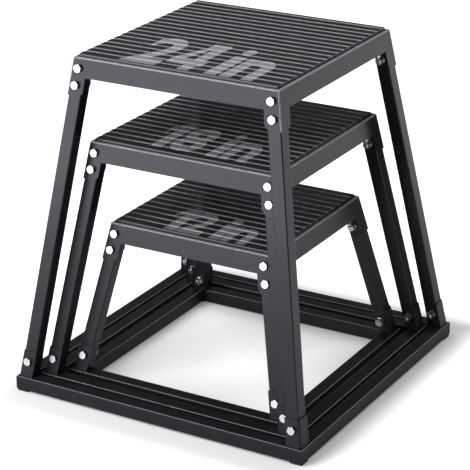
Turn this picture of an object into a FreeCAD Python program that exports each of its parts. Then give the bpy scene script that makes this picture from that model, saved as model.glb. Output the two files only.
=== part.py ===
import FreeCAD, Part
import math
import os

from FreeCAD import Vector

# Three open-frame plyometric boxes of folded sheet and square tube that nest inside each other.
# All sizes in millimetres. Origin on the floor at the middle of the nest, +X along the front, +Z up.

# Height of each box, from the floor to the top of its mat
LARGE_HEIGHT = 609.6
MEDIUM_HEIGHT = 457.2
SMALL_HEIGHT = 304.8

# Large box, outside width of its square base frame and of its square deck
LARGE_BASE = 577.0
LARGE_TRAY = 395.0

# Free gap between one base frame and the next one inside it
MEDIUM_BASE_GAP = 6.5
SMALL_BASE_GAP = 12.0

# Free gap between the legs of a box and the tray corner of the box that nests inside it
MEDIUM_TRAY_GAP = 11.5
SMALL_TRAY_GAP = 20.0

# Square steel tube of the legs and base rails
TUBE = 25.0
TUBE_WALL = 1.5
TUBE_CORNER = 3.0

# Sheet steel of the trays and of the leg sockets
SHEET = 2.0
FOLD_INSIDE_RADIUS = 1.5
CORNER_CLEARANCE = 0.5
SKIRT_DEPTH = 33.5
TAB_LENGTH = 32.0
TAB_MARGIN = 3.5
TAB_CHAMFER = 6.0
SOCKET_HEIGHT = 48.0
SOCKET_MARGIN = 1.0
SOCKET_INSET = 4.0
LEG_END_GAP = 1.0

# Ribbed rubber mat glued on each deck
MAT_THICKNESS = 4.5
MAT_RIM = 7.0
SLAT_PITCH = 20.4
SLAT_HEIGHT = 2.2
SLAT_BEVEL = 1.4
GROOVE_WIDTH = 1.6

# Rubber pads under the base corners
FOOT = 24.0
FOOT_THICKNESS = 3.0
FOOT_RADIUS = 3.0

# M8 hexagon bolts, and nuts with their washers
BOLT_DIAMETER = 8.0
BOLT_HEAD_FLATS = 13.0
BOLT_HEAD_HEIGHT = 5.3
BOLT_END = 2.5
HOLE_CLEARANCE = 0.4
THREAD_CLEARANCE = 0.15
WASHER_DIAMETER = 16.0
WASHER_THICKNESS = 1.6
NUT_FLATS = 13.0
NUT_HEIGHT = 7.0
HEX_SIDES = 6
WASHER_SIDES = 8
UPPER_BOLT_DROP = 18.5
LOWER_BOLT_DROP = 47.5
SOCKET_BOLT_RISE = 29.0

# Length by which a cutting tool runs past the piece that it cuts
OVERCUT = 5.0

# Sizes that follow from the ones above
BRACKET_INSIDE_CORNER = TUBE_CORNER - CORNER_CLEARANCE
BRACKET_CORNER = BRACKET_INSIDE_CORNER + SHEET
FOLD_RADIUS = FOLD_INSIDE_RADIUS + SHEET
FOLD_INSIDE_FLAT = FOLD_INSIDE_RADIUS * (2 - math.sqrt(2))
BASE_TOP = FOOT_THICKNESS + TUBE
HOLE_DIAMETER = BOLT_DIAMETER + 2 * HOLE_CLEARANCE
NUT_BORE = BOLT_DIAMETER + 2 * THREAD_CLEARANCE
ARC_MIDDLE = 1 - math.sqrt(0.5)

# Corner names with the side of X and of Y on which each lies
CORNERS = {
    "front_left": (-1, -1),
    "front_right": (1, -1),
    "rear_left": (-1, 1),
    "rear_right": (1, 1),
}
SQUARE_TURN = [(-1, -1), (1, -1), (1, 1), (-1, 1)]
RAIL_TURNS = {"front": 0, "right": 90, "rear": 180, "left": 270}


class Box:
    """One box of the set, with the slope that its four leaning faces share."""

    def __init__(self, name, height, base, tray):
        self.name = name
        self.base = base
        self.deck = height - MAT_THICKNESS
        self.tray = tray
        self.slope = (base / 2 - SOCKET_INSET - tray / 2) / (self.deck - BASE_TOP)
        self.skirt_bottom = self.deck - SKIRT_DEPTH
        self.tab_bottom = self.skirt_bottom - TAB_LENGTH
        self.leg_top = self.deck - FOLD_RADIUS - LEG_END_GAP
        self.bolt_heights = [
            self.deck - UPPER_BOLT_DROP,
            self.deck - LOWER_BOLT_DROP,
            BASE_TOP + SOCKET_BOLT_RISE,
        ]

    def face(self, z):
        """Half-width over the outside of the tray tabs and sockets at height z."""
        return self.tray / 2 + self.slope * (self.deck - z)

    def leg_outside(self, z):
        return self.face(z) - SHEET

    def leg_inside(self, z):
        return self.leg_outside(z) - TUBE

    def lean(self, corner, rise):
        """Vector along a leg that climbs by rise."""
        side_x, side_y = corner
        return Vector(-side_x * self.slope * rise, -side_y * self.slope * rise, rise)

    def grip(self):
        """Thickness of bracket and tube, square to the leaning face."""
        return (SHEET + TUBE) / math.hypot(1, self.slope)

    def bolt_places(self):
        """Placement of each bolt on the outer face, its +Z pointing straight out of the face."""
        places = []
        for side_x, side_y in CORNERS.values():
            outward = Vector(0, side_y, self.slope)
            turn = FreeCAD.Rotation(Vector(0, 0, 1), outward)
            for z in self.bolt_heights:
                seat = Vector(side_x * (self.leg_outside(z) - TUBE / 2), side_y * self.face(z), z)
                places.append(FreeCAD.Placement(seat, turn))
        return places


def polygon(points):
    return Part.Face(Part.makePolygon(points + points[:1]))


def square(half, middle):
    """Level square face."""
    return polygon([middle + Vector(half * x, half * y, 0) for x, y in SQUARE_TURN])


def eased_square(half, corner, middle):
    """Level square face with each rounded corner drawn as two flats."""
    bulge = half - corner * ARC_MIDDLE
    flat = half - corner
    points = []
    for quarter in range(4):
        turn = FreeCAD.Rotation(Vector(0, 0, 1), 90 * quarter)
        for x, y in [(half, flat), (bulge, bulge), (flat, half)]:
            points.append(middle + turn.multVec(Vector(x, y, 0)))
    return polygon(points)


def square_tube(middle, along):
    """Square tube with a level section round middle that runs along a vector."""
    skin = eased_square(TUBE / 2, TUBE_CORNER, middle).extrude(along)
    bore = square(TUBE / 2 - TUBE_WALL, middle).extrude(along)
    return skin.cut(bore)


def regular_prism(sides, flats, low, high):
    """Upright prism with a regular outline of the given width over its flats."""
    radius = flats / 2 / math.cos(math.pi / sides)
    angles = [2 * math.pi * side / sides for side in range(sides)]
    points = [Vector(radius * math.cos(a), radius * math.sin(a), low) for a in angles]
    return polygon(points).extrude(Vector(0, 0, high - low))


def placed(shape, placement):
    copy = shape.copy()
    copy.Placement = placement.multiply(copy.Placement)
    return copy


def drilled(shape, box):
    """Shape with the clearance holes of every bolt of the box."""
    drill = regular_prism(HEX_SIDES, HOLE_DIAMETER, -box.grip() - OVERCUT, OVERCUT)
    for place in box.bolt_places():
        tool = placed(drill, place)
        if tool.BoundBox.intersect(shape.BoundBox):
            shape = shape.cut(tool)
    return shape


def leaning_block(box, inset, corner, low, high):
    """Solid between the four leaning faces, set in by inset, with rounded corners."""
    foot_half = box.face(low) - inset
    top_half = box.face(high) - inset
    block = Part.makeWedge(
        -foot_half, low, -foot_half, -top_half, -top_half, foot_half, high, foot_half, top_half, top_half
    )
    block.rotate(Vector(0, 0, 0), Vector(1, 0, 0), 90)
    leaning = [e for e in block.Edges if e.BoundBox.ZLength > (high - low) / 2]
    return block.makeFillet(corner, leaning)


def level_edges(block, z, slack):
    return [e for e in block.Edges if e.BoundBox.ZMin > z - slack]


def tray(box):
    """Folded tray: flat deck, leaning skirts and a two-sided tab that hangs over each leg."""
    low = box.tab_bottom
    ceiling = box.deck - SHEET
    outside = leaning_block(box, 0.0, BRACKET_CORNER, low, box.deck)
    outside = outside.makeFillet(FOLD_RADIUS, level_edges(outside, box.deck, SHEET))
    inside = leaning_block(box, SHEET, BRACKET_INSIDE_CORNER, low - OVERCUT, ceiling)
    inside = inside.makeChamfer(FOLD_INSIDE_FLAT, level_edges(inside, ceiling, SHEET))
    shell = outside.cut(inside)
    bevel_top = low + TAB_CHAMFER
    window_half = [
        (box.leg_inside(box.skirt_bottom) - TAB_MARGIN, box.skirt_bottom),
        (box.leg_inside(bevel_top) - TAB_MARGIN, bevel_top),
        (box.leg_inside(low) - TAB_MARGIN + TAB_CHAMFER, low),
        (box.leg_inside(low) - TAB_MARGIN + TAB_CHAMFER, low - OVERCUT),
    ]
    reach = box.face(low) + OVERCUT
    outline = [Vector(x, -reach, z) for x, z in window_half]
    outline += [Vector(-x, -reach, z) for x, z in reversed(window_half)]
    window = polygon(outline).extrude(Vector(0, 2 * reach, 0))
    shell = shell.cut(window)
    window.rotate(Vector(0, 0, 0), Vector(0, 0, 1), 90)
    return drilled(shell.cut(window), box)


def mat(box):
    """Rubber sheet with flat bevelled slats along X, cut to a whole number of slats."""
    width = box.tray - 2 * MAT_RIM
    count = int(width / SLAT_PITCH)
    start = -count * SLAT_PITCH / 2
    foot = GROOVE_WIDTH / 2
    top = box.deck + MAT_THICKNESS
    groove = top - SLAT_HEIGHT
    shoulder = top - SLAT_BEVEL
    points = [Vector(-width / 2, start, box.deck)]
    for slat in range(count):
        front = start + slat * SLAT_PITCH
        rear = front + SLAT_PITCH
        front_wall = front if slat == 0 else front + foot
        rear_wall = rear if slat == count - 1 else rear - foot
        if slat > 0:
            points.append(Vector(-width / 2, front_wall, groove))
        points.append(Vector(-width / 2, front_wall, shoulder))
        points.append(Vector(-width / 2, front_wall + SLAT_BEVEL, top))
        points.append(Vector(-width / 2, rear_wall - SLAT_BEVEL, top))
        points.append(Vector(-width / 2, rear_wall, shoulder))
        if slat < count - 1:
            points.append(Vector(-width / 2, rear_wall, groove))
    points.append(Vector(-width / 2, -start, box.deck))
    return polygon(points).extrude(Vector(width, 0, 0))


def leg(box, corner):
    """Square tube with a level section, so that its outer faces lie flat on tab and socket."""
    side_x, side_y = corner
    reach = box.leg_outside(BASE_TOP) - TUBE / 2
    middle = Vector(side_x * reach, side_y * reach, BASE_TOP)
    return drilled(square_tube(middle, box.lean(corner, box.leg_top - BASE_TOP)), box)


def socket(box, corner):
    """Upright angle plate on a base corner that holds the leg by its two outer faces."""
    side_x, side_y = corner
    reach = box.face(BASE_TOP)
    width = SHEET + TUBE + SOCKET_MARGIN
    inner = SHEET + BRACKET_INSIDE_CORNER
    outer_bulge = BRACKET_CORNER * ARC_MIDDLE
    inner_bulge = SHEET + BRACKET_INSIDE_CORNER * ARC_MIDDLE
    section = [
        (0, width),
        (0, BRACKET_CORNER),
        (outer_bulge, outer_bulge),
        (BRACKET_CORNER, 0),
        (width, 0),
        (width, SHEET),
        (inner, SHEET),
        (inner_bulge, inner_bulge),
        (SHEET, inner),
        (SHEET, width),
    ]
    outline = [Vector(side_x * (reach - x), side_y * (reach - y), BASE_TOP) for x, y in section]
    return drilled(polygon(outline).extrude(box.lean(corner, SOCKET_HEIGHT)), box)


def rail(box, turn):
    """Base tube with both ends mitred, made at the front and turned to its side."""
    half = box.base / 2
    start = Vector(-half, TUBE / 2 - half, FOOT_THICKNESS + TUBE / 2)
    lying = FreeCAD.Placement(start, FreeCAD.Rotation(Vector(0, 1, 0), 90))
    tube = placed(square_tube(Vector(0, 0, 0), Vector(0, 0, box.base)), lying)
    mitre = polygon([
        Vector(-half, -half, 0),
        Vector(half, -half, 0),
        Vector(half - TUBE, TUBE - half, 0),
        Vector(TUBE - half, TUBE - half, 0),
    ]).extrude(Vector(0, 0, BASE_TOP + OVERCUT))
    piece = tube.common(mitre)
    piece.rotate(Vector(0, 0, 0), Vector(0, 0, 1), turn)
    return piece


def foot(box, corner):
    side_x, side_y = corner
    reach = box.base / 2 - TUBE / 2
    middle = Vector(side_x * reach, side_y * reach, 0)
    return eased_square(FOOT / 2, FOOT_RADIUS, middle).extrude(Vector(0, 0, FOOT_THICKNESS))


def bolt(box):
    """Hexagon bolt with the underside of its head on the XY plane."""
    end = -box.grip() - WASHER_THICKNESS - NUT_HEIGHT - BOLT_END
    head = regular_prism(HEX_SIDES, BOLT_HEAD_FLATS, 0.0, BOLT_HEAD_HEIGHT)
    return head.fuse(regular_prism(HEX_SIDES, BOLT_DIAMETER, end, 0.0))


def nut(box):
    """Nut and the washer that it presses on the inner face of the leg."""
    seat = -box.grip()
    shoulder = seat - WASHER_THICKNESS
    end = shoulder - NUT_HEIGHT
    washer = regular_prism(WASHER_SIDES, WASHER_DIAMETER, shoulder, seat)
    body = washer.fuse(regular_prism(HEX_SIDES, NUT_FLATS, end, shoulder))
    return body.cut(regular_prism(HEX_SIDES, NUT_BORE, end, seat))


def at_every_bolt(fastener, box):
    """One fastener of the box repeated at all its bolt places."""
    return Part.makeCompound([placed(fastener, place) for place in box.bolt_places()])


def nested_boxes():
    """The three boxes, each inner one sized by the gaps that it leaves to the box over it."""
    large = Box("large", LARGE_HEIGHT, LARGE_BASE, LARGE_TRAY)
    medium = nested_box("medium", MEDIUM_HEIGHT, large, MEDIUM_BASE_GAP, MEDIUM_TRAY_GAP)
    small = nested_box("small", SMALL_HEIGHT, medium, SMALL_BASE_GAP, SMALL_TRAY_GAP)
    return [large, medium, small]


def nested_box(name, height, over, base_gap, tray_gap):
    base = over.base - 2 * (TUBE + base_gap)
    tray_half = over.leg_inside(height - MAT_THICKNESS) - tray_gap
    return Box(name, height, base, 2 * tray_half)


def pieces(box):
    """Every piece of one box under its node name."""
    made = {"tray": tray(box), "mat": mat(box)}
    for name, corner in CORNERS.items():
        made["leg_" + name] = leg(box, corner)
        made["socket_" + name] = socket(box, corner)
    for name, turn in RAIL_TURNS.items():
        made["rail_" + name] = rail(box, turn)
    made["feet"] = Part.makeCompound([foot(box, corner) for corner in CORNERS.values()])
    made["bolts"] = at_every_bolt(bolt(box), box)
    made["nuts"] = at_every_bolt(nut(box), box)
    return {box.name + "_" + name: shape for name, shape in made.items()}


os.makedirs("parts", exist_ok=True)
for nested in nested_boxes():
    for node, shape in pieces(nested).items():
        shape.exportStep("parts/" + node + ".step")
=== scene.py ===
import itertools
import math
import random

import bmesh
import bpy
from mathutils import Matrix, Vector


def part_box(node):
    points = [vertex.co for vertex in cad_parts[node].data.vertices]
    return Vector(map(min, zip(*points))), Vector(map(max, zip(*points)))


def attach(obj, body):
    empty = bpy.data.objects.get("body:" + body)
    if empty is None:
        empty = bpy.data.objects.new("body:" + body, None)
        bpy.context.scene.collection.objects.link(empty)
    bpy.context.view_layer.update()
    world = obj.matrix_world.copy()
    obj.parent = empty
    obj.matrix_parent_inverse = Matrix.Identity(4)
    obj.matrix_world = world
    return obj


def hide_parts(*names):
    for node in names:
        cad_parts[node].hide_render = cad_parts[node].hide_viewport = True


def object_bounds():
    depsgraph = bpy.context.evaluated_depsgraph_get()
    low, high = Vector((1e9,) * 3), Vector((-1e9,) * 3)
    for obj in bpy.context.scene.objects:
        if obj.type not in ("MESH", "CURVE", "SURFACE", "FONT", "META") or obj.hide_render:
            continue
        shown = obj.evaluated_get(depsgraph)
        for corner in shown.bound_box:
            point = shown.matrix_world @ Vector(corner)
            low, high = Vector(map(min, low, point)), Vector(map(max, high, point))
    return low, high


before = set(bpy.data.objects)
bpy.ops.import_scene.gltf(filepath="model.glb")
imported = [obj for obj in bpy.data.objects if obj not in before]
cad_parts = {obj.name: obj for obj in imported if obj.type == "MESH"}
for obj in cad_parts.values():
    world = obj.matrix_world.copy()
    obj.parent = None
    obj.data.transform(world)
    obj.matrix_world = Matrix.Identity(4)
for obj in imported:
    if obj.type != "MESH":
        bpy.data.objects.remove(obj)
cad_low, cad_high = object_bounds()

# Three plyo boxes that stand inside each other, each with a steel frame, a folded tray and a ribbed mat

# Tubes, sheet and feet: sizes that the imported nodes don't give, in metres
MM = 0.001
TUBE = 25.0 * MM
TUBE_WALL = 1.5 * MM
TUBE_CORNER = 2.0 * MM
TUBE_MOUTH = 14.0 * MM
SHEET = 2.0 * MM
FOLD_RADIUS = 2.2 * MM
BRACKET_CORNER = 4.0 * MM
RIM_BREAK = 0.35 * MM
RIM_ANGLE = math.radians(60)
# Width of the deck's outer band that carries the coat's painted highlight
HIGHLIGHT_BAND = 1.8 * MM
SKIRT_DEPTH = 33.5 * MM
TAB_MARGIN = 3.5 * MM
TAB_CHAMFER = 6.0 * MM
SOCKET_MARGIN = 1.0 * MM
WELD_LINE = 0.25 * MM
FOOT = 24.0 * MM
FOOT_RADIUS = 3.0 * MM
FOOT_BREAK = 0.5 * MM

# Ribbed mat
SLAT_PITCH = 20.7 * MM
SLAT_HEIGHT = 2.2 * MM
GROOVE = 1.8 * MM
SLAT_LEAN = math.radians(8)
SLAT_FRONT_ROUND = 1.6 * MM
SLAT_CROWN_ROUND = 10.0 * MM
SLAT_CROWN_FALL = math.radians(25)
SLAT_REAR_ROUND = 0.6 * MM
SLAT_JOIN = 0.005 * MM

# Printed height marks. For each box: the height of the digits, the gap to the mat's front edge, and the
# left and right end of each sign in millimetres. A share of a slat's two end faces stays without print.
INK = 0.06 * MM
INK_BODY = 0.9 * INK
UNPRINTED_SHARE = 0.1
HEIGHT_MARKS = {
    "large": (149 * MM, 3.5 * MM, {"2": (-114, -44), "4": (-40, 28), "i": (50, 73), "n": (79, 140)}),
    "medium": (120 * MM, 13.5 * MM, {"1": (-89, -53), "8": (-48, 10), "i": (33, 53), "n": (58, 109)}),
    "small": (97 * MM, 3.5 * MM, {"1": (-74, -39), "2": (-39, 11), "i": (30, 50), "n": (52, 100)}),
}
FONT_BOLDER = 0.03
FONT_CURVE_STEPS = 6

# Signs drawn one by one: shares of a sign's width and height, those of the four from its left end and its
# top.
# The flag falls by a share of its own height, and the four's slanting stroke spreads towards its foot.
ONE_STEM_SHARE = 0.58
ONE_FLAG_SHARE = 0.22
ONE_FLAG_FALL = 0.8
FOUR_STEM_FROM = 0.57
FOUR_STEM_TO = 0.88
FOUR_SLANT_WIDTH = 0.2
FOUR_SLANT_SPREAD = 1.5
FOUR_COUNTER_TOP = 0.17
FOUR_BAR_TOP = 0.62
FOUR_BAR_BOTTOM = 0.82
SMALL_LETTER_SHARE = 0.71
I_DOT_SHARE = 0.21

# M8 fasteners. The shares are of a radius: the hexagon's corners for the blank that turns them off, the
# shank for a bore, the thread's root for the bolt's point.
HEX_FLATS = 13.0 * MM
HEX_EASE = 0.9 * MM
HEX_TURNED_SHARE = 0.995
HEX_REPEAT = math.pi / 3
HEAD_HEIGHT = 5.3 * MM
NUT_HEIGHT = 7.0 * MM
NUT_BORE_SHARE = 1.01
WASHER_RADIUS = 8.0 * MM
WASHER_THICKNESS = 1.6 * MM
WASHER_EASE = 0.3 * MM
WASHER_BORE_SHARE = 1.05
SHANK_RADIUS = 4.0 * MM
SHANK_IN_HEAD = 0.5 * MM
BOLT_END = 2.5 * MM
THREAD_PITCH = 1.25 * MM
THREAD_DEPTH = 0.55 * MM
THREAD_TURNS = 7
THREAD_POINT_SHARE = 0.92
UPPER_BOLT_DROP = 18.5 * MM
LOWER_BOLT_DROP = 47.5 * MM
SOCKET_BOLT_RISE = 29.0 * MM
WRENCH_SEED = 24

# Facets of rounded edges, sides of round forms, and angles up to which faces are shaded as one
FOLD_FACETS = 5
TUBE_FACETS = 4
FOOT_FACETS = 4
BREAK_FACETS = 2
SLAT_FRONT_FACETS = 6
SLAT_CROWN_FACETS = 5
SLAT_REAR_FACETS = 4
ROUND_SIDES = 24
TURNED_SIDES = 36
WASHER_SIDES = 40
SMOOTH_ANGLE = math.radians(32)
MAT_SMOOTH_ANGLE = math.radians(40)
FASTENER_SMOOTH_ANGLE = math.radians(28)
SAME_POINT = 0.001 * MM

# Parts of a face's normal along an axis, which tell level, square and leaning faces apart, and the facet
# of a tube's corner and the front edge of a slat that carry a painted highlight
LEVEL = 0.99
SQUARE = 0.9
LEANING = 0.5
HIGHLIGHT_FACET_FROM = 0.4
HIGHLIGHT_FACET_TO = 0.7
SLAT_HIGHLIGHT_FROM = 0.2
SLAT_HIGHLIGHT_TO = 0.98

# Finishes: the values between which most of a noise lies, and the height up to which scuffs dull the coat
NOISE_LOW = 0.3
NOISE_HIGH = 0.7
SCUFFS_UP_TO = 0.4

# White floor: its glow at the base, away from the base and in the middle of it, the way over which the
# glow rises, and the strip along the front of the base where it hasn't begun to. Where the glow stays low,
# at the base, in that strip and between the rails, it leaves painted shade
GLOW_NEAR = 0.02
GLOW_FAR = 0.78
GLOW_INSIDE = 0.43
GLOW_REACH = 0.08
SHADE_AHEAD = 0.035
FLOOR_SIZE = 60.0

# Studio: the rise of a direction from level, 0, to upright, 1, and the light that comes from there
ROOM_LEVELS = ((0.0, 0.05), (0.3, 0.05), (0.45, 0.1), (0.6, 0.6), (1.0, 0.6))

# Lamps: place, target, width and height in metres, and radiance
LAMPS = {
    "front_panel": ((-1.15, -2.15, 0.635), (0, 0, 0.635), 1.5, 1.23, 6.8),
    "key_softbox": ((-1.3, -2.2, 2.0), (0, 0, 0.45), 1.6, 1.2, 9.5),
    "overhead_softbox": ((-0.45, -0.14, 2.05), (0, 0, 0.6), 0.9, 0.9, 2.9),
    "rear_right_panel": ((1.85, 2.1, 0.85), (0, 0, 0.45), 1.5, 1.7, 0.6),
    "right_fill": ((2.0, -0.9, 1.9), (0, 0, 0.2), 1.8, 1.8, 0.9),
    "rear_right_edge_light": ((1.15, 2.4, 2.05), (0, 0, 0.45), 0.8, 0.8, 8.0),
}

# Camera: place in metres, azimuth, elevation and roll in degrees, sensor and lens in millimetres
CAMERA_PLACE = Vector((1.6320, -2.7470, 1.5503))
CAMERA_ANGLES = (30.786, 22.142, -0.789)
CAMERA_SENSOR = 36.0
CAMERA_LENS = 148.70

# Boxes of the nest, from the outside in
BOXES = ("large", "medium", "small")

# Sides of the four corners in X and Y, and the turns in degrees that bring a pattern from the front right
# corner, or from the front, to each place
CORNERS = ((-1, -1), (1, -1), (-1, 1), (1, 1))
CORNER_TURNS = {"front_left": 270, "front_right": 0, "rear_left": 180, "rear_right": 90}
RAIL_TURNS = {"front": 0, "right": 90, "rear": 180, "left": 270}


class Stand:
    """The lines of one box that its pieces share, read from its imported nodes."""

    def __init__(self, name):
        leg_low, leg_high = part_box(name + "_leg_front_right")
        tray_low, tray_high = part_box(name + "_tray")
        rail_low, rail_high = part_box(name + "_rail_front")
        self.name = name
        self.body = name + "_box"
        self.base = rail_high.x - rail_low.x
        self.base_top = leg_low.z
        self.leg_top = leg_high.z
        self.deck = tray_high.z
        self.tab_bottom = tray_low.z
        self.skirt_bottom = self.deck - SKIRT_DEPTH
        self.slope = (leg_high.x - leg_low.x - TUBE) / (leg_high.z - leg_low.z)
        self.foot_reach = leg_high.x + SHEET

    def face(self, z):
        """Half-width over the outside of tabs and sockets at height z."""
        return self.foot_reach - self.slope * (z - self.base_top)

    def leg_middle(self, z):
        """Distance of a leg's middle from the middle of the box at height z, in X and in Y."""
        return self.face(z) - SHEET - TUBE / 2

    def bolt_places(self):
        """Matrix of each bolt, its Z axis square to the leaning face and its origin on that face."""
        heights = (
            self.deck - UPPER_BOLT_DROP,
            self.deck - LOWER_BOLT_DROP,
            self.base_top + SOCKET_BOLT_RISE,
        )
        for side_x, side_y in CORNERS:
            turn = Vector((0, side_y, self.slope)).to_track_quat("Z", "Y").to_matrix().to_4x4()
            for z in heights:
                seat = Vector((side_x * self.leg_middle(z), side_y * self.face(z), z))
                yield Matrix.Translation(seat) @ turn

    def grip(self):
        """Thickness of bracket and tube, square to the leaning face."""
        return (SHEET + TUBE) / math.hypot(1, self.slope)


# Modelling helpers

def deselect():
    if bpy.context.object and bpy.context.object.mode == "EDIT":
        bpy.ops.object.mode_set(mode="OBJECT")
    bpy.ops.object.select_all(action="DESELECT")


def begin(name):
    """Name the new primitive, put its place into its mesh and open it for editing."""
    piece = bpy.context.object
    piece.name = name
    piece.data.name = name
    bpy.ops.object.transform_apply(location=True, rotation=True, scale=True)
    bpy.ops.object.mode_set(mode="EDIT")
    return piece


def middle(part):
    """Middle of an edge or a face."""
    return sum((v.co for v in part.verts), Vector()) / len(part.verts)


def pick(kind, test):
    """Select the vertices, edges or faces of the mesh in edit mode that pass a test."""
    mesh = bmesh.from_edit_mesh(bpy.context.object.data)
    mesh.normal_update()
    bpy.context.tool_settings.mesh_select_mode = (kind == "verts", kind == "edges", kind == "faces")
    for group in (mesh.verts, mesh.edges, mesh.faces):
        for part in group:
            part.select_set(False)
    for part in getattr(mesh, kind):
        if test(part):
            part.select_set(True)
    mesh.select_flush_mode()
    bmesh.update_edit_mesh(bpy.context.object.data)


def upright(edge, height):
    """Whether an edge rises over more than half of a height."""
    return abs(edge.verts[0].co.z - edge.verts[1].co.z) > height / 2


def move(x=0.0, y=0.0):
    bpy.ops.transform.translate(value=(x, y, 0.0))


def extrude_edges(x, y, z):
    bpy.ops.mesh.extrude_edges_move(TRANSFORM_OT_translate={"value": (x, y, z)})


def close_edit():
    """Weld, turn all faces outwards and leave edit mode."""
    bpy.ops.mesh.select_all(action="SELECT")
    bpy.ops.mesh.remove_doubles(threshold=SAME_POINT)
    bpy.ops.mesh.normals_make_consistent(inside=False)
    bpy.ops.object.mode_set(mode="OBJECT")


def activate(piece):
    deselect()
    piece.select_set(True)
    bpy.context.view_layer.objects.active = piece


def modify(piece, kind, **settings):
    """Add a modifier and apply it."""
    activate(piece)
    modifier = piece.modifiers.new(kind.title(), kind)
    for key, value in settings.items():
        setattr(modifier, key, value)
    bpy.ops.object.modifier_apply(modifier=modifier.name)


def smooth(piece, angle=SMOOTH_ANGLE):
    activate(piece)
    bpy.ops.object.shade_smooth_by_angle(angle=angle)
    modify(piece, "WEIGHTED_NORMAL", keep_sharp=True)


def fold_sheet(piece):
    """Give a folded surface the sheet's thickness and break its cut rims."""
    modify(piece, "SOLIDIFY", thickness=SHEET, offset=-1.0, use_even_offset=True)
    modify(piece, "BEVEL", width=RIM_BREAK, segments=BREAK_FACETS, limit_method="ANGLE",
           angle_limit=RIM_ANGLE, use_clamp_overlap=True)
    smooth(piece)


def dress(piece, stand, material, slot, *nodes):
    """Finish, body and CAD nodes of a piece."""
    if material:
        piece.data.materials.clear()
        piece.data.materials.append(material)
    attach(piece, stand.body)
    if nodes:
        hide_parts(*nodes)
    return piece


def placed_copy(pattern, matrix, name):
    """Copy of a pattern piece with its own mesh, its place in that mesh."""
    copy = pattern.copy()
    copy.data = pattern.data.copy()
    copy.name = name
    copy.data.name = name
    bpy.context.collection.objects.link(copy)
    copy.data.transform(matrix)
    return copy


def join(pieces, name):
    deselect()
    for piece in pieces:
        piece.select_set(True)
    bpy.context.view_layer.objects.active = pieces[0]
    bpy.ops.object.join()
    pieces[0].name = name
    pieces[0].data.name = name
    return pieces[0]


def discard(piece):
    mesh = piece.data
    bpy.data.objects.remove(piece)
    bpy.data.meshes.remove(mesh)


# Materials

def linear(colour):
    """Linear colour of an sRGB hex value."""
    channels = [int(colour[i:i + 2], 16) / 255 for i in (1, 3, 5)]
    return [c / 12.92 if c <= 0.04045 else ((c + 0.055) / 1.055) ** 2.4 for c in channels] + [1.0]


def add(tree, kind, settings=None, **inputs):
    """Node with its settings. An input has its socket's name, or _ and its number, and a value or a link."""
    new = tree.nodes.new("ShaderNode" + kind)
    for key, value in (settings or {}).items():
        setattr(new, key, value)
    for key, value in inputs.items():
        socket = new.inputs[int(key[1:])] if key[1:].isdigit() else new.inputs[key.replace("_", " ")]
        if isinstance(value, bpy.types.NodeSocket):
            tree.links.new(value, socket)
        else:
            socket.default_value = value
    return new


def new_material(name):
    """Empty material, its node tree and the place on the piece, in metres."""
    material = bpy.data.materials.new(name)
    material.use_nodes = True
    tree = material.node_tree
    tree.nodes.clear()
    return material, tree, add(tree, "TexCoord").outputs["Object"]


def grain(tree, place, size, detail=3.0):
    """Noise with spots of about a given size."""
    return add(tree, "TexNoise", Vector=place, Scale=1 / size, Detail=detail).outputs["Fac"]


def mottle(tree, noise, first, second, low=NOISE_LOW, high=NOISE_HIGH):
    """Colour that goes from one hex value to another as a noise goes from low to high."""
    share = add(tree, "MapRange", Value=noise, From_Min=low, From_Max=high).outputs["Result"]
    mixed = add(tree, "Mix", {"data_type": "RGBA"}, _0=share, _6=linear(first), _7=linear(second))
    return mixed.outputs[2]


def spread(tree, noise, least, most):
    """Value that goes from least to most with a noise from 0 to 1."""
    return add(tree, "MapRange", Value=noise, To_Min=least, To_Max=most).outputs["Result"]


def relief(tree, noise, strength, depth):
    """Normals of a surface that is raised and sunk by a noise."""
    return add(tree, "Bump", Height=noise, Strength=strength, Distance=depth).outputs["Normal"]


def surface(tree, **inputs):
    shader = add(tree, "BsdfPrincipled", **inputs)
    add(tree, "OutputMaterial", Surface=shader.outputs[0])


def powder_coat():
    """Baked polyester powder: nearly black satin with a fine orange peel, duller low down from scuffs."""
    material, tree, place = new_material("black_powder_coat")
    cloud = grain(tree, place, 60 * MM)
    # A real peel is about 1 mm wide, too fine for the render, so it is drawn coarser
    peel = grain(tree, place, 2.4 * MM, detail=2.0)
    height = add(tree, "SeparateXYZ", Vector=place).outputs["Z"]
    satin = add(tree, "MapRange", Value=peel, From_Min=NOISE_LOW, From_Max=NOISE_HIGH,
                To_Min=0.22, To_Max=0.28)
    scuffs = add(tree, "MapRange", Value=height, From_Max=SCUFFS_UP_TO, To_Min=0.3, To_Max=0.0)
    rough = add(tree, "Math", _0=satin.outputs["Result"], _1=scuffs.outputs["Result"])
    surface(tree, Base_Color=mottle(tree, cloud, "#0f0e10", "#141316"), Roughness=rough.outputs[0],
            IOR=1.3, Specular_Tint=linear("#f2efff"), Normal=relief(tree, peel, 0.12, 0.05 * MM))
    return material


def coat_highlight():
    """Coat on folds and tube edges, pale grey as a painted highlight where the edges catch the lamps."""
    material, tree, place = new_material("rubbed_powder_coat_edge")
    highlight_noise = grain(tree, place, 9 * MM, detail=4.0)
    surface(tree, Base_Color=mottle(tree, highlight_noise, "#6c6b72", "#8a8991"),
            Roughness=spread(tree, highlight_noise, 0.28, 0.42), IOR=1.3, Normal=relief(tree, highlight_noise, 0.1, 0.05 * MM))
    return material


def mat_rubber():
    """Moulded black rubber: fine-grained, nearly matt from above, with a sheen at a low angle."""
    material, tree, place = new_material("ribbed_black_rubber")
    cloud = grain(tree, place, 45 * MM)
    # A moulded grain is some 0.3 mm wide, too fine for the render, so it is drawn coarser
    fine = grain(tree, place, 0.9 * MM, detail=2.0)
    surface(tree, Base_Color=mottle(tree, cloud, "#202023", "#28272b"),
            Roughness=spread(tree, cloud, 0.22, 0.30), IOR=1.4, Normal=relief(tree, fine, 0.12, 0.05 * MM))
    return material


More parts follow.
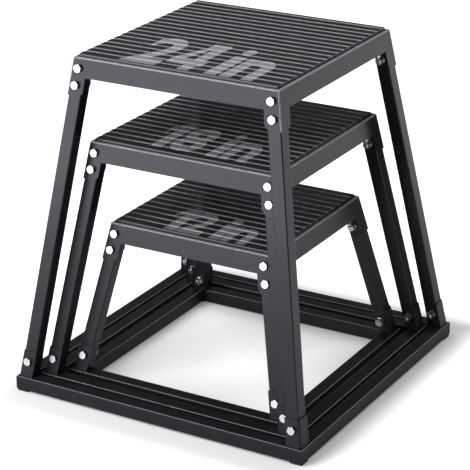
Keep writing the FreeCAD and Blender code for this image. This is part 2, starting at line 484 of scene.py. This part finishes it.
def slat_highlight_rubber():
    """Front edges of the slats in pale grey, in short streaks along each slat: a painted highlight where the
    edges catch the lamps.
    """
    material, tree, place = new_material("scuffed_rubber_edge")
    streak = (1 / (14 * MM), 1 / (3 * MM), 1 / (3 * MM))
    streaks = add(tree, "Mapping", Vector=place, Scale=streak).outputs["Vector"]
    highlight_noise = grain(tree, streaks, 1.0)
    surface(tree, Base_Color=mottle(tree, highlight_noise, "#626166", "#818086"),
            Roughness=spread(tree, highlight_noise, 0.32, 0.45), IOR=1.45, Normal=relief(tree, highlight_noise, 0.1, 0.05 * MM))
    return material


def print_ink(name, thin, full):
    """Screen-printed grey ink on rubber: thin, so the black of the mat speckles through."""
    material, tree, place = new_material(name)
    # The pores of a print are finer than 1 mm, too fine for the render, so they are drawn coarser
    speckle = grain(tree, place, 1.8 * MM)
    surface(tree, Base_Color=mottle(tree, speckle, thin, full, low=0.35, high=0.6), Roughness=0.55,
            IOR=1.45, Normal=relief(tree, speckle, 0.1, 0.04 * MM))
    return material


def foot_rubber():
    """Die-cut rubber pad: dull black with a coarse, dusty grain."""
    material, tree, place = new_material("foot_rubber")
    dust = grain(tree, place, 0.8 * MM)
    surface(tree, Base_Color=mottle(tree, dust, "#121212", "#1d1d1d"), Roughness=0.85, IOR=1.5,
            Normal=relief(tree, dust, 0.3, 0.08 * MM))
    return material


def zinc_plate():
    """Bright zinc on forged steel: mirror-like with a faint bluish, slightly cloudy skin."""
    material, tree, place = new_material("bright_zinc_plate")
    cloud = grain(tree, place, 2.2 * MM)
    surface(tree, Base_Color=mottle(tree, cloud, "#98999d", "#adaeb2"), Metallic=1.0,
            Roughness=spread(tree, cloud, 0.20, 0.34), Normal=relief(tree, cloud, 0.08, 0.05 * MM))
    return material


COAT = powder_coat()
COAT_HIGHLIGHT = coat_highlight()
RUBBER = mat_rubber()
SLAT_HIGHLIGHT = slat_highlight_rubber()
PRINT = print_ink("grey_screen_print", "#6a696d", "#86858a")
# The lighter ink on the slats' front edges is a painted highlight
PRINT_HIGHLIGHT = print_ink("grey_screen_print_on_edges", "#96959a", "#b2b1b6")
PAD = foot_rubber()
ZINC = zinc_plate()


# Pieces

def two_finishes(piece, main, highlight_finish):
    """Give a piece two materials, the second one, a painted highlight, ready to be assigned to selected
    faces.
    """
    piece.data.materials.append(main)
    piece.data.materials.append(highlight_finish)
    piece.active_material_index = 1


def folded_tray(stand):
    """Sheet tray with rounded folds; its corner tabs are left when the windows are cut out."""
    top_half = stand.face(stand.deck)
    low_half = stand.face(stand.tab_bottom)
    height = stand.deck - stand.tab_bottom
    bevel_top = stand.tab_bottom + TAB_CHAMFER
    deselect()
    bpy.ops.mesh.primitive_cube_add(
        size=2, location=(0, 0, stand.deck - height / 2), scale=(top_half, top_half, height / 2)
    )
    piece = begin(stand.name + "_folded_tray")
    pick("verts", lambda v: v.co.z < stand.skirt_bottom)
    bpy.ops.transform.resize(
        value=(low_half / top_half, low_half / top_half, 1), center_override=(0, 0, stand.tab_bottom)
    )
    pick("faces", lambda f: f.normal.z < -SQUARE)
    bpy.ops.mesh.delete(type="FACE")
    two_finishes(piece, COAT, COAT_HIGHLIGHT)
    # Folds and an outer band of the deck take the pale grey of a painted highlight
    pick("edges", lambda e: middle(e).z > bevel_top)
    bpy.ops.mesh.bevel(
        offset=FOLD_RADIUS, segments=FOLD_FACETS, affect="EDGES", clamp_overlap=False, material=1
    )
    pick("faces", lambda f: f.normal.z > LEVEL)
    bpy.ops.mesh.inset(thickness=HIGHLIGHT_BAND)
    rim_reach = top_half - FOLD_RADIUS - HIGHLIGHT_BAND
    pick("faces", lambda f: f.normal.z > LEVEL and max(abs(middle(f).x), abs(middle(f).y)) > rim_reach)
    bpy.ops.object.material_slot_assign()
    bpy.ops.mesh.select_all(action="SELECT")
    bpy.ops.mesh.bisect(plane_co=(0, 0, stand.skirt_bottom), plane_no=(0, 0, 1))

    def tab_edge(z):
        return stand.face(z) - SHEET - TUBE - TAB_MARGIN

    def across(f):
        return 0 if abs(f.normal.y) > SQUARE else 1

    def below_skirt(f):
        return middle(f).z < stand.skirt_bottom and max(abs(f.normal.x), abs(f.normal.y)) > SQUARE

    for axis in (0, 1):
        for side in (-1, 1):
            for z, steep in ((stand.skirt_bottom, stand.slope), (bevel_top, 1 + stand.slope)):
                point = [0, 0, z]
                normal = [0, 0, steep]
                point[axis] = side * tab_edge(z)
                normal[axis] = side
                pick("faces", lambda f: below_skirt(f) and across(f) == axis)
                bpy.ops.mesh.bisect(plane_co=point, plane_no=normal)

    def in_window(f):
        place = middle(f)
        run = abs(place[across(f)])
        under_bevel = run + (1 + stand.slope) * (place.z - bevel_top) < tab_edge(bevel_top)
        return below_skirt(f) and (run < tab_edge(place.z) or under_bevel)

    pick("faces", in_window)
    bpy.ops.mesh.delete(type="FACE")
    close_edit()
    fold_sheet(piece)
    return dress(piece, stand, None, "black_powder_coat", stand.name + "_tray")


def arc_steps(radius, first, last, count):
    """Steps in Y and Z over the top of a slat, from one angle of its surface normal to another."""
    angles = [first + (last - first) * step / count for step in range(count + 1)]
    return [
        (radius * (math.cos(a) - math.cos(b)), radius * (math.sin(b) - math.sin(a)))
        for a, b in zip(angles, angles[1:])
    ]


def slat_profile():
    """Steps in Y and Z along one slat: leaning front, round edge, top, falling crown, rear and groove."""
    edge = arc_steps(SLAT_FRONT_ROUND, SLAT_LEAN, math.pi / 2, SLAT_FRONT_FACETS)
    front_rise = SLAT_HEIGHT - sum(rise for run, rise in edge)
    front = [(front_rise * math.tan(SLAT_LEAN), front_rise)]
    crown_end = math.pi / 2 + SLAT_CROWN_FALL
    rear = arc_steps(SLAT_CROWN_ROUND, math.pi / 2, crown_end, SLAT_CROWN_FACETS)
    rear += arc_steps(SLAT_REAR_ROUND, crown_end, math.pi, SLAT_REAR_FACETS)
    rear.append((0.0, -SLAT_HEIGHT - sum(rise for run, rise in rear)))
    flat = SLAT_PITCH - GROOVE - sum(run for run, rise in front + edge + rear)
    return front + edge + [(flat, 0.0)] + rear + [(GROOVE, 0.0)]


def ribbed_mat(stand):
    """Rubber sheet: one slat is drawn out as a profile and repeated, then cut off square at the back."""
    # The sheet is as long as it is wide, so its ends in X serve for Y too
    low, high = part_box(stand.name + "_mat")
    width = high.x - low.x
    count = math.ceil(width / SLAT_PITCH)
    groove_floor = high.z - 2 * INK - SLAT_HEIGHT
    (front_run, front_rise), *steps = slat_profile()
    front_middle = (0, low.x, groove_floor + front_rise / 2)
    deselect()
    bpy.ops.mesh.primitive_plane_add(size=width, location=front_middle, rotation=(math.radians(90), 0, 0))
    piece = begin(stand.name + "_ribbed_mat")
    bpy.ops.transform.resize(value=(1, 1, front_rise / width), center_override=front_middle)
    pick("edges", lambda e: min(v.co.z for v in e.verts) > front_middle[2])
    move(0, front_run)
    for run, rise in steps:
        extrude_edges(0, run, rise)
    two_finishes(piece, RUBBER, SLAT_HIGHLIGHT)
    # Front faces of the slats take the pale grey of a painted highlight
    pick("faces", lambda f: SLAT_HIGHLIGHT_FROM < -f.normal.y < SLAT_HIGHLIGHT_TO)
    bpy.ops.object.material_slot_assign()
    bpy.ops.object.mode_set(mode="OBJECT")
    modify(piece, "ARRAY", count=count, use_relative_offset=False, use_constant_offset=True,
           constant_offset_displace=(0, SLAT_PITCH, 0), use_merge_vertices=True,
           merge_threshold=SLAT_JOIN)
    bpy.ops.object.mode_set(mode="EDIT")
    piece.active_material_index = 0
    pick("faces", lambda f: middle(f).y < low.x + GROOVE)
    bpy.ops.object.material_slot_assign()
    bpy.ops.mesh.select_all(action="SELECT")
    bpy.ops.mesh.bisect(plane_co=(0, high.x, 0), plane_no=(0, 1, 0), clear_outer=True)
    pick("edges", lambda e: len(e.link_faces) == 1)
    extrude_edges(0, 0, -SLAT_HEIGHT)
    bpy.ops.transform.resize(value=(1, 1, 0), center_override=(0, 0, low.z))
    bpy.ops.mesh.edge_face_add()
    close_edit()
    smooth(piece, MAT_SMOOTH_ANGLE)
    return dress(piece, stand, None, "rubber_mat", stand.name + "_mat")


def font_sign(sign, left, right, start, digit_height, z):
    """One sign of the plain built-in font, emboldened and fitted to its two ends and its height."""
    deselect()
    bpy.ops.object.text_add()
    letter = bpy.context.object
    letter.data.body = sign
    letter.data.offset = FONT_BOLDER
    letter.data.resolution_u = FONT_CURVE_STEPS
    bpy.ops.object.convert(target="MESH")
    xs = [v.co.x for v in letter.data.vertices]
    ys = [v.co.y for v in letter.data.vertices]
    height = digit_height if sign.isdigit() else SMALL_LETTER_SHARE * digit_height
    stretch = (right - left) / (max(xs) - min(xs))
    rise = height / (max(ys) - min(ys))
    letter.location = (left - min(xs) * stretch, start - min(ys) * rise, z)
    letter.scale = (stretch, rise, 1)
    bpy.ops.object.transform_apply(location=True, rotation=True, scale=True)
    return letter


def upright_bar(name, centre, bottom, width, height, z):
    """Flat upright bar of a sign, open for editing."""
    deselect()
    bpy.ops.mesh.primitive_plane_add(size=height, location=(centre, bottom + height / 2, z))
    bar = begin(name)
    bpy.ops.transform.resize(value=(width / height, 1, 1), center_override=(centre, 0, z))
    return bar


def flagged_one(left, right, start, digit_height, z):
    """Figure one: an upright bar whose upper left edge is drawn out and down to a flag."""
    stem = (right - left) * ONE_STEM_SHARE
    stem_left = right - stem
    flag = ONE_FLAG_SHARE * digit_height
    flag_bottom = start + digit_height - flag
    figure = upright_bar("figure_one", right - stem / 2, start, stem, digit_height, z)
    bpy.ops.mesh.bisect(plane_co=(0, flag_bottom, 0), plane_no=(0, 1, 0))
    pick("edges", lambda e: abs(middle(e).x - stem_left) < INK and middle(e).y > flag_bottom)
    extrude_edges(left - stem_left, -flag * ONE_FLAG_FALL, 0)
    close_edit()
    return figure


def crossed_four(left, right, start, digit_height, z):
    """Figure four: an upright bar, a crossbar drawn out of its sides and a slanting stroke to that."""
    width = right - left
    top = start + digit_height
    stem_left = left + FOUR_STEM_FROM * width
    stem_right = left + FOUR_STEM_TO * width
    slant = FOUR_SLANT_WIDTH * width
    counter_top, bar_top, bar_bottom = (
        top - share * digit_height for share in (FOUR_COUNTER_TOP, FOUR_BAR_TOP, FOUR_BAR_BOTTOM)
    )
    stem_middle = (stem_left + stem_right) / 2
    figure = upright_bar("figure_four", stem_middle, start, stem_right - stem_left, digit_height, z)
    for level in (counter_top, bar_top, bar_bottom):
        bpy.ops.mesh.select_all(action="SELECT")
        bpy.ops.mesh.bisect(plane_co=(0, level, 0), plane_no=(0, 1, 0))

    def draw_out(edge_x, low, high, run):
        pick("edges", lambda e: abs(middle(e).x - edge_x) < INK and low < middle(e).y < high)
        extrude_edges(run, 0, 0)

    draw_out(stem_left, bar_bottom, bar_top, left - stem_left)
    draw_out(stem_right, bar_bottom, bar_top, right - stem_right)
    pick("faces", lambda f: middle(f).x < stem_left)
    bpy.ops.mesh.bisect(plane_co=(left + slant * FOUR_SLANT_SPREAD, 0, 0), plane_no=(1, 0, 0))
    draw_out(stem_left, counter_top, top, -slant)
    pick("edges", lambda e: abs(middle(e).y - counter_top) < INK and middle(e).x < stem_left)
    extrude_edges(left + slant - stem_left, bar_top - counter_top, 0)
    bpy.ops.transform.resize(value=(FOUR_SLANT_SPREAD, 1, 1), center_override=(left, bar_top, z))
    close_edit()
    return figure


def dotted_i(left, right, start, digit_height, z):
    """Letter i: a short upright bar with a round dot over it, as high as the digits."""
    width = right - left
    centre = (left + right) / 2
    stem_height = SMALL_LETTER_SHARE * digit_height
    dot_height = I_DOT_SHARE * digit_height
    dot_middle = (centre, start + digit_height - dot_height / 2, z)
    stem = upright_bar("letter_stem", centre, start, width, stem_height, z)
    close_edit()
    deselect()
    bpy.ops.mesh.primitive_circle_add(
        vertices=ROUND_SIDES, radius=width / 2, fill_type="NGON", location=dot_middle
    )
    dot = begin("letter_dot")
    bpy.ops.transform.resize(value=(1, dot_height / width, 1), center_override=dot_middle)
    close_edit()
    return join([stem, dot], "letter_i")


def height_mark(stand, mat):
    """Height printed on the slats: the signs are cut at the grooves and laid over the slat tops."""
    digit_height, margin, signs = HEIGHT_MARKS[stand.name]
    low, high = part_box(stand.name + "_mat")
    start = low.x + margin
    above = high.z + SLAT_HEIGHT
    hand_drawn = {"1": flagged_one, "4": crossed_four, "i": dotted_i}
    letters = []
    for sign, (left, right) in signs.items():
        ends = (left * MM, right * MM, start, digit_height, above)
        letters.append(hand_drawn[sign](*ends) if sign in hand_drawn else font_sign(sign, *ends))
    piece = join(letters, stand.name + "_height_mark")
    bpy.ops.object.mode_set(mode="EDIT")

    # Cuts at every break of the slats' profile, without those of the rear wall and the groove
    breaks = list(itertools.accumulate(run for run, rise in slat_profile()))
    printed_from = breaks[0] * UNPRINTED_SHARE
    printed_to = SLAT_PITCH - GROOVE - SLAT_REAR_ROUND * UNPRINTED_SHARE
    for slat in range(math.ceil(digit_height / SLAT_PITCH) + 1):
        for run in [printed_from] + breaks[:-2] + [printed_to]:
            bpy.ops.mesh.select_all(action="SELECT")
            bpy.ops.mesh.bisect(plane_co=(0, low.x + slat * SLAT_PITCH + run, 0), plane_no=(0, 1, 0))

    def in_groove(f):
        return not printed_from < (middle(f).y - low.x) % SLAT_PITCH < printed_to

    pick("faces", in_groove)
    bpy.ops.mesh.delete(type="FACE")
    bpy.ops.mesh.select_all(action="SELECT")
    bpy.ops.mesh.quads_convert_to_tris()
    pick("faces", lambda f: f.normal.z < 0)
    bpy.ops.mesh.flip_normals()
    bpy.ops.object.mode_set(mode="OBJECT")
    modify(piece, "SHRINKWRAP", target=mat, wrap_method="PROJECT", use_project_z=True,
           use_negative_direction=True, use_positive_direction=False, offset=INK)
    two_finishes(piece, PRINT, PRINT_HIGHLIGHT)
    bpy.ops.object.mode_set(mode="EDIT")
    # Faces of the print on the slats' front edges take the lighter ink of a painted highlight
    pick("faces", lambda f: -f.normal.y > SLAT_HIGHLIGHT_FROM)
    bpy.ops.object.material_slot_assign()
    bpy.ops.object.mode_set(mode="OBJECT")
    modify(piece, "SOLIDIFY", thickness=INK_BODY, offset=-1.0)
    smooth(piece, MAT_SMOOTH_ANGLE)
    return dress(piece, stand, None, "rubber_mat")


def tube_leg(stand):
    """Leaning square tube with drawn corners and an open upper end, at the front right corner."""
    height = stand.leg_top - stand.base_top
    reach = stand.leg_middle(stand.base_top)
    lean = stand.slope * height
    deselect()
    bpy.ops.mesh.primitive_cube_add(
        size=1, location=(reach, -reach, stand.base_top + height / 2), scale=(TUBE, TUBE, height)
    )
    piece = begin("leg_pattern")
    pick("faces", lambda f: f.normal.z > SQUARE)
    move(-lean, lean)
    pick("edges", lambda e: upright(e, height))
    bpy.ops.mesh.bevel(offset=TUBE_CORNER, segments=TUBE_FACETS, affect="EDGES")
    pick("faces", lambda f: f.normal.z > SQUARE)
    bpy.ops.mesh.inset(thickness=TUBE_WALL)
    piece.data.materials.append(COAT)
    drop = lean * TUBE_MOUTH / height
    bpy.ops.mesh.extrude_region_move(TRANSFORM_OT_translate={"value": (drop, -drop, -TUBE_MOUTH)})
    close_edit()
    return piece


def angle_socket(stand):
    """Angle plate folded from sheet: the two outer faces of a leaning block at the front right corner."""
    low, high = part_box(stand.name + "_socket_front_right")
    height = high.z - low.z
    width = SHEET + TUBE + SOCKET_MARGIN
    reach = stand.face(low.z) - width / 2
    lean = stand.slope * height
    deselect()
    bpy.ops.mesh.primitive_cube_add(
        size=1, location=(reach, -reach, low.z + height / 2), scale=(width, width, height)
    )
    piece = begin("socket_pattern")
    pick("faces", lambda f: f.normal.z > SQUARE)
    move(-lean, lean)
    pick("faces", lambda f: max(f.normal.x, -f.normal.y) < LEANING)
    bpy.ops.mesh.delete(type="FACE")
    pick("edges", lambda e: len(e.link_faces) == 2)
    bpy.ops.mesh.bevel(offset=BRACKET_CORNER, segments=FOLD_FACETS, affect="EDGES")
    close_edit()
    piece.data.materials.append(COAT)
    fold_sheet(piece)
    return piece


def base_rail(stand):
    """Front tube of the base with drawn corners, mitred ends and the ground welds as fine lines."""
    low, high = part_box(stand.name + "_rail_front")
    half = stand.base / 2
    deselect()
    bpy.ops.mesh.primitive_cube_add(
        size=1, location=(0, TUBE / 2 - half, (low.z + high.z) / 2), scale=(stand.base, TUBE, TUBE)
    )
    piece = begin("rail_pattern")
    for end in (-1, 1):
        pick("verts", lambda v: v.co.x * end > 0 and v.co.y > TUBE / 2 - half)
        move(-end * TUBE)
    pick("edges", lambda e: abs(e.verts[0].co.x - e.verts[1].co.x) > half)
    bpy.ops.mesh.bevel(offset=TUBE_CORNER, segments=TUBE_FACETS, affect="EDGES")
    two_finishes(piece, COAT, COAT_HIGHLIGHT)
    # Middle facets of the tube's corners take the pale grey of a painted highlight
    pick("faces", lambda f: HIGHLIGHT_FACET_FROM < abs(f.normal.y) < HIGHLIGHT_FACET_TO)
    bpy.ops.object.material_slot_assign()
    pick("faces", lambda f: abs(f.normal.x) > LEANING)
    bpy.ops.mesh.bevel(offset=WELD_LINE, segments=1, affect="EDGES")
    close_edit()
    return piece


def copies_round(stand, pattern, kind, turns, form):
    """Copies of a coated pattern at its turns about the middle of the box."""
    for place, turn in turns.items():
        node = "_".join((stand.name, kind, place))
        piece = placed_copy(pattern, Matrix.Rotation(math.radians(turn), 4, "Z"), node + "_" + form)
        smooth(piece)
        dress(piece, stand, None, "black_powder_coat", node)
    discard(pattern)


def rubber_feet(stand):
    """Four pads with rounded corners and broken edges under the base corners."""
    low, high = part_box(stand.name + "_feet")
    thickness = high.z - low.z
    deselect()
    bpy.ops.mesh.primitive_cube_add(size=1, location=(0, 0, thickness / 2), scale=(FOOT, FOOT, thickness))
    pad = begin("pad")
    pick("edges", lambda e: upright(e, thickness))
    bpy.ops.mesh.bevel(offset=FOOT_RADIUS, segments=FOOT_FACETS, affect="EDGES")
    pick("faces", lambda f: abs(f.normal.z) > SQUARE)
    bpy.ops.mesh.bevel(offset=FOOT_BREAK, segments=BREAK_FACETS, affect="EDGES")
    close_edit()
    reach = high.x - FOOT / 2
    pads = [
        placed_copy(pad, Matrix.Translation((side_x * reach, side_y * reach, low.z)), "pad_copy")
        for side_x, side_y in CORNERS
    ]
    discard(pad)
    piece = join(pads, stand.name + "_rubber_feet")
    smooth(piece)
    return dress(piece, stand, PAD, "rubber_feet", stand.name + "_feet")


def hex_block(name, low, high, ease_low):
    """Hexagon with its corners turned off as on a forged head; both ends for a nut."""
    corner = HEX_FLATS / math.sqrt(3)
    depth = high - low
    place = (0, 0, (low + high) / 2)
    deselect()
    bpy.ops.mesh.primitive_cylinder_add(vertices=6, radius=corner, depth=depth, location=place)
    block = begin(name)
    close_edit()
    deselect()
    bpy.ops.mesh.primitive_cylinder_add(
        vertices=TURNED_SIDES, radius=corner * HEX_TURNED_SHARE, depth=depth, location=place
    )
    turned = begin("turned_blank")
    pick("faces", lambda f: f.normal.z > SQUARE or (ease_low and f.normal.z < -SQUARE))
    bpy.ops.mesh.bevel(offset=HEX_EASE, segments=BREAK_FACETS, affect="EDGES")
    close_edit()
    modify(block, "BOOLEAN", operation="INTERSECT", object=turned, solver="EXACT")
    discard(turned)
    return block


def threaded_bolt(stand):
    """Hexagon bolt with the underside of its head at the origin and its thread past the nut."""
    head = hex_block("bolt_head", 0.0, HEAD_HEIGHT, False)
    end = -stand.grip() - WASHER_THICKNESS - NUT_HEIGHT - BOLT_END
    thread_top = end + (THREAD_TURNS + 1) * THREAD_PITCH
    root = 1 - THREAD_DEPTH / SHANK_RADIUS
    deselect()
    bpy.ops.mesh.primitive_circle_add(
        vertices=ROUND_SIDES, radius=SHANK_RADIUS, location=(0, 0, SHANK_IN_HEAD)
    )
    shank = begin("bolt_shank")

    def draw_down(drop, factor):
        extrude_edges(0, 0, -drop)
        bpy.ops.transform.resize(value=(factor, factor, 1), center_override=(0, 0, 0))

    bpy.ops.mesh.select_all(action="SELECT")
    bpy.ops.mesh.edge_face_add()
    pick("edges", lambda e: len(e.link_faces) == 1)
    draw_down(SHANK_IN_HEAD - thread_top, 1.0)
    for turn in range(THREAD_TURNS):
        draw_down(THREAD_PITCH / 2, root)
        draw_down(THREAD_PITCH / 2, 1 / root)
    draw_down(THREAD_PITCH, root * THREAD_POINT_SHARE)
    bpy.ops.mesh.edge_face_add()
    close_edit()
    return join([head, shank], stand.name + "_bolt_pattern")


def bore(block, radius, z):
    """Drill a hole through a nut or washer whose middle is at z."""
    deselect()
    bpy.ops.mesh.primitive_cylinder_add(
        vertices=ROUND_SIDES, radius=radius, depth=NUT_HEIGHT * 2, location=(0, 0, z)
    )
    drill = begin("drill")
    close_edit()
    modify(block, "BOOLEAN", operation="DIFFERENCE", object=drill, solver="EXACT")
    discard(drill)


def hex_nut(stand):
    """Nut with both ends turned and a plain bore round the bolt's thread."""
    shoulder = -stand.grip() - WASHER_THICKNESS
    block = hex_block(stand.name + "_nut_pattern", shoulder - NUT_HEIGHT, shoulder, True)
    bore(block, SHANK_RADIUS * NUT_BORE_SHARE, shoulder - NUT_HEIGHT / 2)
    return block


def flat_washer(stand):
    """Washer with broken edges between the leg and the nut."""
    washer_middle = -stand.grip() - WASHER_THICKNESS / 2
    deselect()
    bpy.ops.mesh.primitive_cylinder_add(
        vertices=WASHER_SIDES, radius=WASHER_RADIUS, depth=WASHER_THICKNESS,
        location=(0, 0, washer_middle),
    )
    washer = begin(stand.name + "_washer_pattern")
    pick("faces", lambda f: abs(f.normal.z) > SQUARE)
    bpy.ops.mesh.bevel(offset=WASHER_EASE, segments=BREAK_FACETS, affect="EDGES")
    close_edit()
    bore(washer, SHANK_RADIUS * WASHER_BORE_SHARE, washer_middle)
    return washer


def fasteners(stand, pattern, name, turns, node):
    """A fastener at every bolt place, each turned by its own angle, joined to one piece."""
    copies = [
        placed_copy(pattern, place @ Matrix.Rotation(turn, 4, "Z"), "fastener_copy")
        for place, turn in zip(stand.bolt_places(), turns)
    ]
    discard(pattern)
    piece = join(copies, stand.name + "_" + name)
    smooth(piece, FASTENER_SMOOTH_ANGLE)
    return dress(piece, stand, ZINC, "zinc_fasteners", node)


wrench = random.Random(WRENCH_SEED)
for box_name in BOXES:
    stand = Stand(box_name)
    folded_tray(stand)
    mat = ribbed_mat(stand)
    height_mark(stand, mat)
    copies_round(stand, tube_leg(stand), "leg", CORNER_TURNS, "tube")
    copies_round(stand, angle_socket(stand), "socket", CORNER_TURNS, "plate")
    copies_round(stand, base_rail(stand), "rail", RAIL_TURNS, "tube")
    rubber_feet(stand)
    head_turns = [wrench.uniform(0, HEX_REPEAT) for place in stand.bolt_places()]
    nut_turns = [wrench.uniform(0, HEX_REPEAT) for place in stand.bolt_places()]
    fasteners(stand, threaded_bolt(stand), "hex_bolts", head_turns, box_name + "_bolts")
    fasteners(stand, hex_nut(stand), "hex_nuts", nut_turns, box_name + "_nuts")
    fasteners(stand, flat_washer(stand), "flat_washers", nut_turns, box_name + "_nuts")


# Floor, light and camera

def greater(tree, first, second):
    return add(tree, "Math", {"operation": "MAXIMUM"}, _0=first, _1=second).outputs[0]


def background_ray(tree):
    """1 for rays that show the background: from the camera, or by gloss or through glass."""
    path = add(tree, "LightPath").outputs
    seen = greater(tree, path["Is Camera Ray"], path["Is Glossy Ray"])
    return greater(tree, seen, path["Is Transmission Ray"])


def studio_floor():
    """White paper sweep, lifted to full white away from the base; the lift stays low at the base, in a strip
    in front of it and between its rails, as painted shade.
    """
    material, tree, place = new_material("white_studio_paper")
    away = add(tree, "VectorMath", {"operation": "ABSOLUTE"}, _0=place).outputs["Vector"]
    sides = add(tree, "SeparateXYZ", Vector=away).outputs
    reach = greater(tree, sides["X"], sides["Y"])
    inside = add(tree, "MapRange", Value=reach, From_Max=cad_high.x, To_Min=GLOW_INSIDE,
                 To_Max=GLOW_NEAR).outputs["Result"]
    ahead = add(tree, "Math", {"operation": "SUBTRACT"}, _0=sides["Y"], _1=SHADE_AHEAD).outputs[0]
    clear = greater(tree, sides["X"], ahead)
    outside = add(tree, "MapRange", {"interpolation_type": "SMOOTHSTEP"}, Value=clear,
                  From_Min=cad_high.x, From_Max=cad_high.x + GLOW_REACH,
                  To_Min=GLOW_NEAR, To_Max=GLOW_FAR).outputs["Result"]
    glow = greater(tree, outside, inside)
    lift = add(tree, "Math", {"operation": "MULTIPLY"}, _0=background_ray(tree), _1=glow)
    paper = add(tree, "BsdfDiffuse", Color=linear("#e3e3e5"))
    white = add(tree, "Emission", Strength=lift.outputs[0])
    both = add(tree, "AddShader", _0=paper.outputs[0], _1=white.outputs[0])
    add(tree, "OutputMaterial", Surface=both.outputs[0])
    deselect()
    bpy.ops.mesh.primitive_plane_add(size=FLOOR_SIZE, location=(0, 0, 0))
    floor = bpy.context.object
    floor.name = "floor"
    floor.data.materials.append(material)


def studio_world():
    """Studio with dim walls and a bright ceiling of light."""
    world = bpy.data.worlds.new("studio")
    world.use_nodes = True
    tree = world.node_tree
    tree.nodes.clear()
    direction = add(tree, "TexCoord").outputs["Generated"]
    height = add(tree, "SeparateXYZ", Vector=direction).outputs["Z"]
    levels = add(tree, "ValToRGB", Fac=height)
    stops = levels.color_ramp.elements
    # The second stop moves out of the way of those that are put in after it
    stops[1].position = ROOM_LEVELS[0][0]
    while len(stops) < len(ROOM_LEVELS):
        stops.new(1.0)
    for stop, (rise, level) in zip(stops, ROOM_LEVELS):
        stop.position = rise
        stop.color = (level, level, level, 1.0)
    room = add(tree, "Background", Color=levels.outputs["Color"], Strength=1.0)
    add(tree, "OutputWorld", Surface=room.outputs[0])
    bpy.context.scene.world = world


def softbox(name, place, target, width, height, radiance):
    """Rectangular lamp of an even radiance that looks at a target."""
    lamp = bpy.data.lights.new(name, "AREA")
    lamp.shape = "RECTANGLE"
    lamp.size = width
    lamp.size_y = height
    lamp.energy = radiance * math.pi * width * height
    lamp_object = bpy.data.objects.new(name, lamp)
    bpy.context.collection.objects.link(lamp_object)
    look = Vector(target) - Vector(place)
    lamp_object.location = place
    lamp_object.rotation_euler = look.to_track_quat("-Z", "Y").to_euler()


def photo_camera():
    """Camera at the photograph's place, solved from the corners of decks and bases."""
    azimuth, elevation, roll = (math.radians(a) for a in CAMERA_ANGLES)
    ahead = Vector((
        -math.sin(azimuth) * math.cos(elevation),
        math.cos(azimuth) * math.cos(elevation),
        -math.sin(elevation),
    ))
    level = Vector((math.cos(azimuth), math.sin(azimuth), 0))
    plumb = level.cross(ahead)
    right = math.cos(roll) * level + math.sin(roll) * plumb
    up = -math.sin(roll) * level + math.cos(roll) * plumb
    camera = bpy.data.cameras.new("photo_camera")
    camera.sensor_width = CAMERA_SENSOR
    camera.lens = CAMERA_LENS
    camera_object = bpy.data.objects.new("photo_camera", camera)
    bpy.context.collection.objects.link(camera_object)
    turn = Matrix((right, up, -ahead)).transposed().to_4x4()
    camera_object.matrix_world = Matrix.Translation(CAMERA_PLACE) @ turn
    bpy.context.scene.camera = camera_object


studio_floor()
studio_world()
for lamp_name, settings in LAMPS.items():
    softbox(lamp_name, *settings)
photo_camera()

bpy.context.scene.view_settings.view_transform = "Standard"
